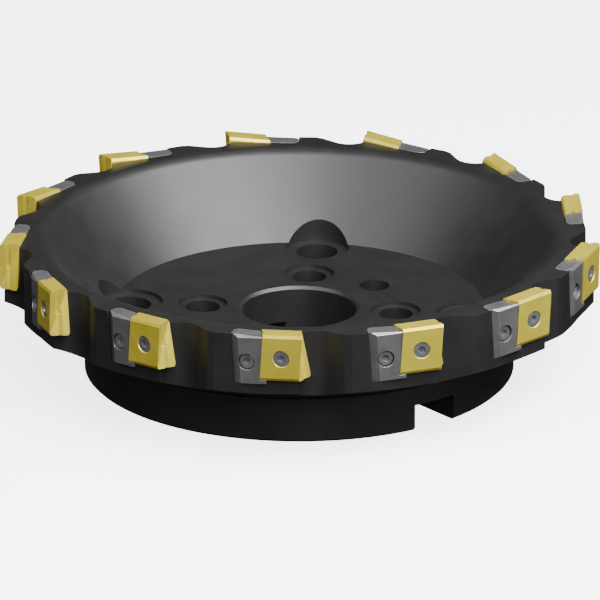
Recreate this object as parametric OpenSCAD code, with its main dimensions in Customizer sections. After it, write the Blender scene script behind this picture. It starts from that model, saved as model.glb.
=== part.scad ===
// Shell-type face mill with tangentially mounted cutting inserts. The part stands on its back
// face: +Z is the spindle axis towards the dished cutting face, and the origin is the centre of
// the back face. The drive slot runs along Y. Seen from +Z the cutter turns anticlockwise.
// Each tooth has its own seat frame: x points out of the insert's flank, y towards the rake
// side and z up the insert, with the origin in the middle of the outer flank.

/* [Teeth] */
// Number of teeth
teeth = 13; // [8:1:13]
// Angle of the first insert's screw, degrees
first_tooth = 172.12; // [0:0.01:360]
// Distance from the spindle axis to the middle of an insert's outer flank
seat_r = 155.15; // [154:0.05:156]
// Height of the middle of an insert's outer flank above the back face
seat_z = 62.5; // [60:0.1:64]
// Relief: how far the outer flank turns away from the tangent
relief = 13.3; // [10:0.1:16]
// Axial tilt of the seat
tilt = 4; // [2:0.1:6]

/* [Cutter body] */
// Radius of the hub
hub_r = 112.5; // [110:0.5:115]
// Chamfer round the back face
hub_chamfer = 1.5; // [0.5:0.1:3]
// Height at which the hub's side ends
hub_h = 24; // [22:0.5:28]
// Radius of the rim between the teeth
rim_r = 150.4; // [149:0.1:151]
// Height of the rim's flat top
rim_top = 73; // [72:0.1:74]
// Height of the rim's bottom edge
rim_bottom = 41; // [38:0.5:44]
// Radius at which the bowl's wall would meet the rim's top
bowl_top_r = 133.3; // [130:0.1:134]
// Radius of the round between the bowl's wall and the rim's top
lip_round = 9.5; // [4:0.5:10]
// Radius of the bowl at its floor
bowl_floor_r = 96.9; // [95:0.1:100]
// Height of the bowl's floor
floor_z = 33.4; // [32:0.1:36]
// Radius of the chip gullet in front of each insert
gullet_r = 10.6; // [9:0.1:11]

/* [Spindle interface] */
// Diameter of the pilot bore
pilot_d = 60; // [50:1:60]
// Inner bolt circle
inner_pcd = 101.6; // [101.6:0.1:101.6]
// Outer bolt circle
outer_pcd = 177.8; // [177.8:0.1:177.8]
// Hole through the inner bolt circle
inner_hole_d = 18; // [16:0.5:18]
// Hole through the outer bolt circle
outer_hole_d = 22; // [20:0.5:22]
// Hole for a lifting eye
lift_hole_d = 16; // [14:0.5:16]
// Width of the drive slot
slot_w = 25.7; // [24:0.1:26]
// Depth of the drive slot
slot_depth = 14; // [12:0.5:15]

/* [Insert] */
// Width of the insert, from rake side to rake side
insert_w = 21.4; // [20:0.1:21.6]
// Height of the insert
insert_h = 24.8; // [24:0.1:25]
// Thickness of the insert
insert_t = 10.2; // [9.5:0.1:10.4]
// How far a rake side's corners stand forward of and behind its middle
rake_twist = 1.7; // [0.5:0.1:2]
// Bevel along the insert's two ends
end_bevel = 0.7; // [0.3:0.1:1]

/* [Adjusting wedge] */
// Far side of the wedge, from the middle of the insert
wedge_back = 27; // [26:0.1:27.5]
// Gap between the wedge and the insert
wedge_gap = 0.3; // [0.25:0.05:0.5]
// Position of the wedge screw behind the middle of the insert
screw_back = 19.1; // [18.5:0.1:19.5]
// Position of the wedge screw below the middle of the insert
screw_down = 2.6; // [2:0.1:3]

/* [Hidden] */
$fn = 96;
eps = 0.01;
// How far a cutting shape runs past the face it cuts
over = 1;
// Sizes that are longer than a tooth and taller than the cutter
long = 40;
tall = 100;
pitch_angle = 360 / teeth;
half_w = insert_w / 2;
half_h = insert_h / 2;

// Flare from the hub to the underside of the rim
flare_r = 2.2;
flare_h = 2.4;
underside_r = 119;
underside_z = 27.5;
tooth_r = 157;
blank_r = tooth_r + over;
underside_slope = (rim_bottom - underside_z) / (rim_r - underside_r);

// Round at the top of the bowl's wall, which turns from the wall's slope to level
wall_normal = atan((bowl_top_r - bowl_floor_r) / (rim_top - floor_z));
lip_turn = 90 - wall_normal;
lip_flat_r = bowl_top_r + lip_round * tan(lip_turn / 2);
lip_steps = 8;

// Gullet, in the plane of the tooth, and the blunted corner between its ramp and the rim
gullet_x = seat_r - 3.9;
gullet_y = 19.5;
gullet_ramp = 24.5;
gullet_ramp_l = 17;
ramp_distance = gullet_x * cos(gullet_ramp) - gullet_y * sin(gullet_ramp) - gullet_r;
corner_angle = acos(ramp_distance / rim_r) - gullet_ramp;
corner_depth = 0.7;
corner_l = 12;

// Face that carries the insert and the wedge, behind the insert's own flank
land_in = 2.4;
land_t = 14;
land_back = 12.2;
land_l = 24;

// Bolt seats in the bowl's floor
spotface_depth = 2;
inner_spotface_d = 26;
outer_spotface_d = 34;
bore_chamfer = 1.5;

// Insert's seat, hole and clamping screw
insert_hole_r = 2.9;
insert_sink_r = 4.6;
insert_sink_h = 3.2;
clamp_head_r = 4.25;
clamp_head_h = 2.6;
clamp_r = 2.7;
clamp_bore_r = 2.8;
clamp_len = 20;
clamp_bore_end = 1.5;
clamp_down = 0.3;
seat_l = 34;
clamp_recess = 0.4;
socket_r = 2.1;
socket_depth = 1.8;
end_bevel_angle = 28;
notch_w = 3;
notch_h = 9;
notch_depth = 1.2;

// Wedge and its screw
wedge_out = -0.5;
wedge_in = -10;
wedge_bottom = -14.5;
wedge_facet = 4.3;
wedge_facet_in = 2.5;
wedge_top_bevel = 1.1;
wedge_foot = 9.2;
wedge_corner = 2.2;
slot_side_gap = 0.12;
slot_end_gap = 0.65;
slot_foot_gap = 0.12;
insert_foot_gap = 0.2;
wedge_screw_r = 3;
wedge_hole_r = 3.08;
wedge_head_r = 4.1;
wedge_head_h = 3.4;
wedge_head_edge = 0.5;
wedge_sink_r = 4.5;
wedge_sink = 4.5;
wedge_head_gap = 0.04;
wedge_thread_bore_r = 3.1;
wedge_screw_len = 18;
wedge_bore_depth = 24;

function two_digits(k) = k < 10 ? str("0", k) : str(k);
function tooth_names(base) = [for (k = [1:teeth]) str(base, two_digits(k))];

// Places its children in the frame of tooth k, with x along the radius of the insert's screw
module at_tooth(k) {
  rotate([0, 0, first_tooth + (k - 1) * pitch_angle]) children();
}

// Places its children in a tooth's seat frame
module at_seat() {
  translate([seat_r, 0, seat_z])
    rotate([0, 0, -relief])
      rotate([tilt, 0, 0])
        children();
}

// A cylinder along x that starts at x0 and ends at x1
module rod(r, x0, x1) {
  translate([x0, 0, 0]) rotate([0, 90, 0]) cylinder(r = r, h = x1 - x0);
}

// Insert's blank. Both rake sides are two flat facets that meet in a valley along the diagonal.
module insert_blank() {
  front = half_w + rake_twist;
  rear = half_w - rake_twist;
  polyhedron(
    points = [
      [0, front, half_h], [0, rear, -half_h], [-insert_t, rear, half_h], [-insert_t, front, -half_h],
      [0, -rear, half_h], [0, -front, -half_h], [-insert_t, -front, half_h], [-insert_t, -rear, -half_h]
    ],
    faces = [
      [2, 1, 0], [2, 3, 1],
      [7, 6, 4], [5, 7, 4],
      [4, 6, 2, 0], [3, 7, 5, 1],
      [1, 5, 4, 0], [6, 7, 3, 2]
    ]
  );
}

// Space on the insert's side of one trailing facet, moved back by the wedge's gap.
// turn is 1 or -1, for the two facets.
module facet_space(turn) {
  x0 = -insert_t - over;
  x1 = over;
  z0 = -half_h - insert_foot_gap;
  z1 = half_h + insert_t;
  function facet_y(x, z) =
    -half_w + rake_twist - wedge_gap
    - turn * 2 * rake_twist * ((z + half_h) / insert_h - (x + insert_t) / insert_t);
  polyhedron(
    points = [
      [x0, facet_y(x0, z0), z0], [x1, facet_y(x1, z0), z0],
      [x1, facet_y(x1, z1), z1], [x0, facet_y(x0, z1), z1],
      [x0, 0, z0], [x1, 0, z0], [x1, 0, z1], [x0, 0, z1]
    ],
    faces = [[0, 3, 2, 1], [4, 5, 6, 7], [0, 1, 5, 4], [3, 7, 6, 2], [4, 7, 3, 0], [1, 2, 6, 5]]
  );
}

// A bevel tool along y, for the edge at (x, z), turned by a
module edge_tool(x, z, a) {
  translate([x, 0, z]) rotate([0, a, 0]) cube([2 * end_bevel, long, insert_t], center = true);
}

// Chip groove in the middle of a rake side: a V that is deepest at the insert's end and runs out
module chip_notch() {
  translate([-insert_t / 2, half_w - notch_depth, half_h])
    rotate([-atan(notch_depth / notch_h), 0, 0])
      rotate([0, 0, 45])
        translate([0, 0, -notch_h * 1.5])
          cube([notch_w, notch_w, notch_h * 2]);
}

module insert() {
  color("#c8b94e")
    at_seat()
      difference() {
        insert_blank();
        edge_tool(0, half_h, -end_bevel_angle);
        edge_tool(0, -half_h, end_bevel_angle);
        edge_tool(-insert_t, half_h, end_bevel_angle);
        edge_tool(-insert_t, -half_h, -end_bevel_angle);
        for (side = [0, 1], end = [0, 1])
          mirror([0, side, 0]) mirror([0, 0, end]) chip_notch();
        translate([0, 0, -clamp_down]) {
          rod(insert_hole_r, -insert_t - 1, 1);
          translate([-insert_sink_h, 0, 0])
            rotate([0, 90, 0])
              cylinder(r1 = insert_hole_r, r2 = insert_sink_r, h = insert_sink_h + eps);
        }
      }
}

// Six-lobed driver socket, open towards +x
module driver_socket(x, r) {
  difference() {
    rod(r, x - socket_depth, x + 1);
    for (a = [0:60:300])
      rotate([a, 0, 0]) translate([0, r * 1.12, 0]) rod(r * 0.28, x - socket_depth - 1, x + 2);
  }
}

module clamp_screw() {
  at_seat()
    translate([0, 0, -clamp_down])
      difference() {
        union() {
          rod(clamp_r, -clamp_len, -2);
          translate([-clamp_recess - clamp_head_h, 0, 0])
            rotate([0, 90, 0])
              cylinder(r1 = clamp_r, r2 = clamp_head_r, h = clamp_head_h);
        }
        driver_socket(-clamp_recess, socket_r);
      }
}

module insert_screws() {
  color("#6d6f78")
    for (k = [1:teeth])
      at_tooth(k) clamp_screw();
}

// Plan outline of the wedge, the same all the way up
module wedge_plan() {
  polygon([
    [wedge_out, -wedge_foot],
    [wedge_out, -wedge_back + wedge_facet],
    [wedge_out - wedge_facet_in, -wedge_back],
    [wedge_in + wedge_corner, -wedge_back],
    [wedge_in, -wedge_back + wedge_corner],
    [wedge_in, -wedge_foot]
  ]);
}

// Plan outline of the slot that holds the wedge
module slot_plan() {
  back = -wedge_back - slot_side_gap;
  front = -wedge_foot + slot_side_gap;
  end = wedge_in - slot_end_gap;
  polygon([[long, front], [long, back], [end + wedge_corner, back], [end, back + wedge_corner], [end, front]]);
}

module wedge() {
  color("#5a5a5e")
    intersection() {
      cylinder(r = tooth_r + long, h = rim_top);
      at_seat()
        difference() {
          translate([0, 0, wedge_bottom]) linear_extrude(height = long) wedge_plan();
          facet_space(1);
          facet_space(-1);
          translate([0, -screw_back, -screw_down]) {
            rod(wedge_hole_r, wedge_in - 1, 1);
            rod(wedge_sink_r, wedge_out - wedge_sink, 1);
          }
          translate([wedge_out, -wedge_back, rim_top - seat_z + over])
            rotate([0, -45, 0])
              cube([wedge_top_bevel, 2 * long, insert_t], center = true);
        }
    }
}

module wedge_screw() {
  head_x = wedge_out - wedge_sink + wedge_head_gap;
  color("#77787e")
    at_seat()
      translate([0, -screw_back, -screw_down])
        difference() {
          union() {
            rod(wedge_screw_r, head_x - wedge_screw_len, head_x + 1);
            rod(wedge_head_r, head_x, head_x + wedge_head_h - wedge_head_edge);
            translate([head_x + wedge_head_h - wedge_head_edge - eps, 0, 0])
              rotate([0, 90, 0])
                cylinder(r1 = wedge_head_r, r2 = wedge_head_r - wedge_head_edge, h = wedge_head_edge + eps);
          }
          driver_socket(head_x + wedge_head_h, socket_r);
        }
}

// Everything that is cut from the body for one tooth
module tooth_cuts() {
  // Gullet: a round root and a ramp up to the land of the tooth in front
  translate([gullet_x, gullet_y, -over]) cylinder(r = gullet_r, h = tall);
  translate([gullet_x, gullet_y, -over])
    rotate([0, 0, -gullet_ramp])
      translate([-gullet_r, 0, 0])
        cube([long, gullet_ramp_l, tall]);
  rotate([0, 0, corner_angle])
    translate([rim_r - corner_depth, 0, -over])
      rotate([0, 0, -(corner_angle + gullet_ramp) / 2])
        translate([0, -corner_l / 2, 0])
          cube([long, corner_l, tall]);
  at_seat() {
    // Insert's seat
    translate([-insert_t, -half_w - rake_twist - over, -half_h]) cube([long, seat_l, long]);
    // Wedge's slot
    translate([0, 0, wedge_bottom - slot_foot_gap]) linear_extrude(height = long) slot_plan();
    // Threaded holes, at their running size
    translate([0, 0, -clamp_down]) rod(clamp_bore_r, -clamp_len - clamp_bore_end, -over);
    translate([0, -screw_back, -screw_down]) rod(wedge_thread_bore_r, -wedge_bore_depth, -over);
  }
}

// Metal under an insert, which stands out of the rim up to the relieved flank
module tooth_land() {
  intersection() {
    translate([seat_r, 0, 0])
      rotate([0, 0, -relief])
        translate([-land_in - land_t, -land_back, over])
          cube([land_t, land_l, rim_top]);
    cylinder(r = tooth_r, h = rim_top);
  }
}

module turned_blank() {
  lip = [
    for (step = [0:lip_steps])
      let (a = 90 - step * lip_turn / lip_steps)
        [lip_flat_r - lip_round * cos(a), rim_top - lip_round * (1 - sin(a))]
  ];
  rotate_extrude($fn = 180)
    polygon(concat([
      [0, 0],
      [hub_r - hub_chamfer, 0],
      [hub_r, hub_chamfer],
      [hub_r, hub_h],
      [hub_r + flare_r, hub_h + flare_h],
      [underside_r, underside_z],
      [blank_r, underside_z + underside_slope * (blank_r - underside_r)],
      [blank_r, rim_top]
    ], lip, [
      [bowl_floor_r, floor_z],
      [0, floor_z]
    ]));
}

// Bolt hole with its seat, from the bowl's floor through to the back face
module bolt_hole(d, seat_d) {
  translate([0, 0, -over]) cylinder(d = d, h = floor_z + 2 * over);
  translate([0, 0, floor_z - spotface_depth]) cylinder(d = seat_d, h = rim_top);
}

module spindle_interface() {
  translate([0, 0, -over]) cylinder(d = pilot_d, h = floor_z + 2 * over);
  translate([0, 0, floor_z - bore_chamfer])
    cylinder(r1 = pilot_d / 2, r2 = pilot_d / 2 + bore_chamfer + over, h = bore_chamfer + over);
  for (a = [45:90:315])
    rotate([0, 0, a]) {
      translate([inner_pcd / 2, 0, 0]) bolt_hole(inner_hole_d, inner_spotface_d);
      translate([outer_pcd / 2, 0, 0]) bolt_hole(outer_hole_d, outer_spotface_d);
    }
  for (x = [-1, 1])
    translate([x * inner_pcd / 2, 0, -over]) cylinder(d = lift_hole_d, h = floor_z + 2 * over);
  translate([-slot_w / 2, -hub_r - over, -over])
    cube([slot_w, 2 * (hub_r + over), slot_depth + over]);
}

module cutter_body() {
  color("#1c1c1d")
    difference() {
      intersection() {
        turned_blank();
        union() {
          cylinder(r = rim_r, h = rim_top, $fn = 180);
          for (k = [1:teeth]) at_tooth(k) tooth_land();
        }
      }
      for (k = [1:teeth]) at_tooth(k) tooth_cuts();
      spindle_interface();
    }
}

cutter_body();
insert_screws();
for (k = [1:teeth]) {
  at_tooth(k) insert();
  at_tooth(k) wedge();
  at_tooth(k) wedge_screw();
}
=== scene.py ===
"""Looks of the face mill: materials, broken edges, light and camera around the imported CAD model."""
import math

import bpy
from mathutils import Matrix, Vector


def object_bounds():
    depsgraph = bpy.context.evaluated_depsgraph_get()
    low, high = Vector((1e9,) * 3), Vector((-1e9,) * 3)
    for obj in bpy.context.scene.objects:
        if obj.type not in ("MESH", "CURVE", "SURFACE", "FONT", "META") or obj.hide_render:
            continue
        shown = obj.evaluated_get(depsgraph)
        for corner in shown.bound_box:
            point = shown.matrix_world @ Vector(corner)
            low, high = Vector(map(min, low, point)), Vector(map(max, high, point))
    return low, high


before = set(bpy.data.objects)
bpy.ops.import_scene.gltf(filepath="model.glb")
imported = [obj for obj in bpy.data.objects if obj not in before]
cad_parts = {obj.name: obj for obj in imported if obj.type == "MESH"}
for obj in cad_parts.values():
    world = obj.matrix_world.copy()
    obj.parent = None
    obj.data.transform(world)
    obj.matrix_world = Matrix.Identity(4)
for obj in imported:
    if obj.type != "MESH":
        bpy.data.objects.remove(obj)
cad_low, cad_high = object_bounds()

MM = 0.001

# The camera looks down on the dished face, with the drive slot's -Y end to the right of the middle.
# It stands far off with a long lens, so that parallel edges stay parallel.
AZIMUTH = math.radians(-39.0)
ELEVATION = math.radians(20.49)
CAMERA_DISTANCE = 12.0
FRAME_WIDTH = 0.3141
SENSOR = 36.0
AIM_HEIGHT = 37.14 * MM
AIM_RIGHT = 0.43 * MM
CLIP_NEAR = 1.0
CLIP_FAR = 40.0

# Corners nearer than this are one corner, and edges sharper than this are broken with a bevel
WELD_DISTANCE = 0.002 * MM
SHARP_ANGLE = math.radians(15)
BEVEL_SEGMENTS = 2

# The black finish reflects a little more than plain paint
OXIDE_IOR = 1.62

# Half the floor's side, its gap below the back face, and its glow
FLOOR_HALF = 4.0
FLOOR_GAP = 0.05 * MM
FLOOR_GLOW = 3.6

# The room around the soft boxes is almost dark, and slightly cool
ROOM_COLOUR = (0.95, 0.97, 1.0, 1.0)
ROOM_STRENGTH = 0.05

RIGHT = Vector((math.cos(AZIMUTH), math.sin(AZIMUTH), 0.0))
TOWARDS = Vector((math.sin(AZIMUTH), -math.cos(AZIMUTH), 0.0))
UP = Vector((0.0, 0.0, 1.0))


# ---------------------------------------------------------------- node helpers

class Nodes:
    """A material's node tree, with one short method for each kind of node it uses."""

    def __init__(self, name):
        self.material = bpy.data.materials.new(name)
        self.material.use_nodes = True
        self.tree = self.material.node_tree
        self.tree.nodes.clear()
        self.out = self.tree.nodes.new("ShaderNodeOutputMaterial")
        self.shader = self.tree.nodes.new("ShaderNodeBsdfPrincipled")
        self.link(self.shader.outputs["BSDF"], self.out.inputs["Surface"])

    def link(self, source, target):
        self.tree.links.new(source, target)

    def set(self, node, values):
        for key, value in values.items():
            if isinstance(value, bpy.types.NodeSocket):
                self.link(value, node.inputs[key])
            else:
                node.inputs[key].default_value = value
        return node

    def coords(self):
        return self.tree.nodes.new("ShaderNodeTexCoord").outputs["Object"]

    def split(self, vector):
        node = self.set(self.tree.nodes.new("ShaderNodeSeparateXYZ"), {0: vector})
        return node.outputs

    def join(self, x, y, z):
        node = self.set(self.tree.nodes.new("ShaderNodeCombineXYZ"), {0: x, 1: y, 2: z})
        return node.outputs[0]

    def math(self, operation, a, b=0.0):
        node = self.tree.nodes.new("ShaderNodeMath")
        node.operation = operation
        return self.set(node, {0: a, 1: b}).outputs[0]

    def noise(self, vector, scale, detail=3.0, roughness=0.5):
        node = self.tree.nodes.new("ShaderNodeTexNoise")
        values = {"Vector": vector, "Scale": scale, "Detail": detail, "Roughness": roughness}
        return self.set(node, values).outputs["Fac"]

    def scaled(self, vector, scale):
        node = self.tree.nodes.new("ShaderNodeMapping")
        return self.set(node, {"Vector": vector, "Scale": scale}).outputs[0]

    def remap(self, value, low, high, to_low, to_high):
        node = self.tree.nodes.new("ShaderNodeMapRange")
        values = {"Value": value, "From Min": low, "From Max": high, "To Min": to_low, "To Max": to_high}
        return self.set(node, values).outputs[0]

    def mix(self, fac, a, b):
        node = self.tree.nodes.new("ShaderNodeMix")
        node.data_type = "RGBA"
        self.set(node, {0: fac, 6: a, 7: b})
        return node.outputs[2]

    def bump(self, height, strength, distance, normal=None):
        node = self.tree.nodes.new("ShaderNodeBump")
        self.set(node, {"Height": height, "Strength": strength, "Distance": distance})
        if normal is not None:
            self.link(normal, node.inputs["Normal"])
        return node.outputs[0]

    def finish(self, **values):
        self.set(self.shader, {key.replace("_", " "): value for key, value in values.items()})
        return self.material


# ---------------------------------------------------------------- materials

def black_oxide():
    """Turned and milled steel under a black oxide finish. The tool marks follow the lathe."""
    n = Nodes("black_oxide_steel")
    place = n.coords()
    x, y, z = n.split(place)
    radius = n.math("SQRT", n.math("ADD", n.math("MULTIPLY", x, x), n.math("MULTIPLY", y, y)))
    along = n.math("ADD", radius, z)
    ring = n.join(along, 0.0, 0.0)
    fine = n.noise(ring, 2600.0, 2.0, 0.6)
    coarse = n.noise(ring, 420.0, 2.0, 0.5)
    cloud = n.noise(place, 55.0, 4.0, 0.55)
    grain = n.noise(place, 2400.0, 3.0, 0.7)
    tone = n.remap(cloud, 0.3, 0.7, 0.0, 1.0)
    colour = n.mix(tone, (0.0040, 0.0040, 0.0042, 1.0), (0.0068, 0.0066, 0.0064, 1.0))
    rough = n.math("ADD", n.remap(cloud, 0.25, 0.75, 0.45, 0.50), n.remap(grain, 0.3, 0.7, -0.02, 0.02))
    relief = n.bump(fine, 0.30, 0.04 * MM)
    relief = n.bump(coarse, 0.12, 0.10 * MM, relief)
    relief = n.bump(grain, 0.12, 0.04 * MM, relief)
    return n.finish(Base_Color=colour, Roughness=rough, Normal=relief, Metallic=0.0, IOR=OXIDE_IOR)


def worn_edge():
    """Where the black oxide has rubbed thin along a machined edge."""
    n = Nodes("black_oxide_edge")
    place = n.coords()
    patch = n.noise(place, 130.0, 5.0, 0.65)
    wear = n.remap(patch, 0.48, 0.66, 0.0, 1.0)
    colour = n.mix(wear, (0.012, 0.012, 0.0125, 1.0), (0.050, 0.049, 0.049, 1.0))
    rough = n.remap(patch, 0.3, 0.7, 0.42, 0.30)
    return n.finish(Base_Color=colour, Roughness=rough, Metallic=0.35, IOR=OXIDE_IOR)


def coated_carbide(name, dark, light):
    """Ground carbide with a gold nitride coating, in the tones given."""
    n = Nodes(name)
    place = n.coords()
    cloud = n.noise(place, 90.0, 4.0, 0.6)
    lines = n.noise(n.scaled(place, (1.0, 1.0, 14.0)), 420.0, 3.0, 0.6)
    grain = n.noise(place, 3200.0, 3.0, 0.7)
    tone = n.remap(cloud, 0.3, 0.7, 0.0, 1.0)
    colour = n.mix(tone, (*dark, 1.0), (*light, 1.0))
    rough = n.math("ADD", n.remap(lines, 0.3, 0.7, 0.33, 0.44), n.remap(cloud, 0.3, 0.7, -0.02, 0.03))
    relief = n.bump(lines, 0.12, 0.04 * MM)
    relief = n.bump(grain, 0.10, 0.03 * MM, relief)
    return n.finish(Base_Color=colour, Roughness=rough, Normal=relief, Metallic=0.65)


def ground_steel(name, dark, light, smooth, rough_limit):
    """Ground alloy steel, in the tones given, with its roughness between the two limits."""
    n = Nodes(name)
    place = n.coords()
    cloud = n.noise(place, 120.0, 4.0, 0.6)
    lines = n.noise(n.scaled(place, (1.0, 1.0, 16.0)), 520.0, 3.0, 0.6)
    grain = n.noise(place, 2800.0, 3.0, 0.7)
    tone = n.remap(cloud, 0.3, 0.7, 0.0, 1.0)
    colour = n.mix(tone, (*dark, 1.0), (*light, 1.0))
    rough = n.remap(lines, 0.3, 0.7, smooth, rough_limit)
    relief = n.bump(lines, 0.15, 0.04 * MM)
    relief = n.bump(grain, 0.10, 0.03 * MM, relief)
    return n.finish(Base_Color=colour, Roughness=rough, Normal=relief, Metallic=0.75)


def pale_floor():
    """A matt pale sheet. Its glow keeps it pale where the soft boxes don't reach."""
    n = Nodes("pale_floor")
    cloud = n.noise(n.coords(), 3.0, 2.0, 0.5)
    colour = n.mix(cloud, (0.86, 0.86, 0.86, 1.0), (0.88, 0.88, 0.88, 1.0))
    white = (1.0, 1.0, 1.0, 1.0)
    return n.finish(Base_Color=colour, Roughness=0.9, Emission_Color=white, Emission_Strength=FLOOR_GLOW)


# ---------------------------------------------------------------- CAD pieces

def dress(piece, material, width, edge_material=None):
    """Gives a CAD node its material, breaks its sharp edges with a small bevel and shades it evenly."""
    piece.data.materials.clear()
    piece.data.materials.append(material)
    weld = piece.modifiers.new("weld", "WELD")
    weld.merge_threshold = WELD_DISTANCE
    bevel = piece.modifiers.new("edges", "BEVEL")
    bevel.width = width
    bevel.segments = BEVEL_SEGMENTS
    bevel.limit_method = "ANGLE"
    bevel.angle_limit = SHARP_ANGLE
    # The bevel faces take the edge material: rubbed oxide on the body, a painted highlight on the inserts
    # and wedges.
    if edge_material is not None:
        piece.data.materials.append(edge_material)
        bevel.material = 1
    shading = piece.modifiers.new("shading", "WEIGHTED_NORMAL")
    shading.mode = "FACE_AREA"
    shading.keep_sharp = True


def finishes():
    """How each kind of node is dressed: the start of its name, its material, bevel width and edge material.
    A name takes the first line that fits it."""
    black, black_edge = black_oxide(), worn_edge()
    gold = coated_carbide("coated_carbide", (0.66, 0.545, 0.050), (0.75, 0.630, 0.075))
    # A lighter gold on the inserts' bevel faces: a painted highlight along their edges.
    gold_painted_edge_highlight = coated_carbide("carbide_painted_edge_highlight", (0.76, 0.64, 0.11), (0.86, 0.74, 0.17))
    wedge = ground_steel("wedge_steel", (0.15, 0.15, 0.152), (0.20, 0.20, 0.202), 0.40, 0.50)
    # A much lighter steel on the wedges' bevel faces: a painted highlight along their edges.
    wedge_painted_edge_highlight = ground_steel("wedge_painted_edge_highlight", (0.42, 0.42, 0.42), (0.58, 0.58, 0.58), 0.26, 0.34)
    screw = ground_steel("screw_steel", (0.20, 0.202, 0.215), (0.28, 0.283, 0.30), 0.30, 0.40)
    wedge_screw = ground_steel("wedge_screw_steel", (0.20, 0.20, 0.205), (0.28, 0.28, 0.287), 0.30, 0.40)
    return [
        ("cutter_body", black, 0.35 * MM, black_edge),
        ("insert_screws", screw, 0.12 * MM, None),
        ("insert_", gold, 0.18 * MM, gold_painted_edge_highlight),
        ("wedge_screw_", wedge_screw, 0.12 * MM, None),
        ("wedge_", wedge, 0.22 * MM, wedge_painted_edge_highlight),
    ]


def dress_all():
    kinds = finishes()
    for name, piece in sorted(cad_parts.items()):
        material, width, edge_material = next(kind[1:] for kind in kinds if name.startswith(kind[0]))
        dress(piece, material, width, edge_material)


# ---------------------------------------------------------------- stage

def make_floor():
    """A pale floor just below the back face. The camera sees it, but it throws no light on the object."""
    height = cad_low.z - FLOOR_GAP
    sides = [(-1, -1), (1, -1), (1, 1), (-1, 1)]
    corners = [(x * FLOOR_HALF, y * FLOOR_HALF, height) for x, y in sides]
    mesh = bpy.data.meshes.new("floor")
    mesh.from_pydata(corners, [], [(0, 1, 2, 3)])
    mesh.materials.append(pale_floor())
    floor = bpy.data.objects.new("floor", mesh)
    floor.visible_diffuse = False
    floor.visible_glossy = False
    bpy.context.scene.collection.objects.link(floor)


def soft_light(name, right, towards, up, distance, width, height, power):
    """A soft box, aimed at the middle of the object from a direction seen by the camera."""
    data = bpy.data.lights.new(name, "AREA")
    data.shape = "RECTANGLE"
    data.size = width
    data.size_y = height
    data.energy = power
    light = bpy.data.objects.new(name, data)
    bpy.context.scene.collection.objects.link(light)
    away = (RIGHT * right + TOWARDS * towards + UP * up).normalized()
    light.location = Vector((0.0, 0.0, AIM_HEIGHT)) + away * distance
    light.rotation_euler = away.to_track_quat("Z", "Y").to_euler()


def make_light():
    """The bowl's far wall mirrors the key and the high box. The others light the teeth from all sides."""
    soft_light("key", right=0.38, towards=0.40, up=0.80, distance=1.4, width=1.9, height=0.8, power=78)
    soft_light("high", right=-0.50, towards=0.22, up=0.78, distance=1.4, width=1.1, height=0.8, power=10)
    soft_light("front", right=0.10, towards=1.0, up=0.50, distance=1.6, width=0.6, height=0.6, power=13)
    soft_light("left", right=-1.0, towards=0.75, up=0.45, distance=1.6, width=0.8, height=0.8, power=3)
    soft_light("right", right=1.0, towards=0.60, up=0.20, distance=1.6, width=0.6, height=0.6, power=4)
    soft_light("back", right=0.5, towards=-1.0, up=1.6, distance=1.8, width=1.0, height=1.0, power=1.5)
    room = bpy.data.worlds.new("studio")
    bpy.context.scene.world = room
    room.use_nodes = True
    background = room.node_tree.nodes["Background"]
    background.inputs["Color"].default_value = ROOM_COLOUR
    background.inputs["Strength"].default_value = ROOM_STRENGTH


def make_camera():
    data = bpy.data.cameras.new("camera")
    data.sensor_width = SENSOR
    data.lens = SENSOR * CAMERA_DISTANCE / FRAME_WIDTH
    data.clip_start = CLIP_NEAR
    data.clip_end = CLIP_FAR
    camera = bpy.data.objects.new("camera", data)
    bpy.context.scene.collection.objects.link(camera)
    aim = UP * AIM_HEIGHT + RIGHT * AIM_RIGHT
    back = TOWARDS * math.cos(ELEVATION) + UP * math.sin(ELEVATION)
    camera.location = aim + back * CAMERA_DISTANCE
    camera.rotation_euler = (-back).to_track_quat("-Z", "Y").to_euler()
    bpy.context.scene.camera = camera


make_camera()
dress_all()
make_floor()
make_light()
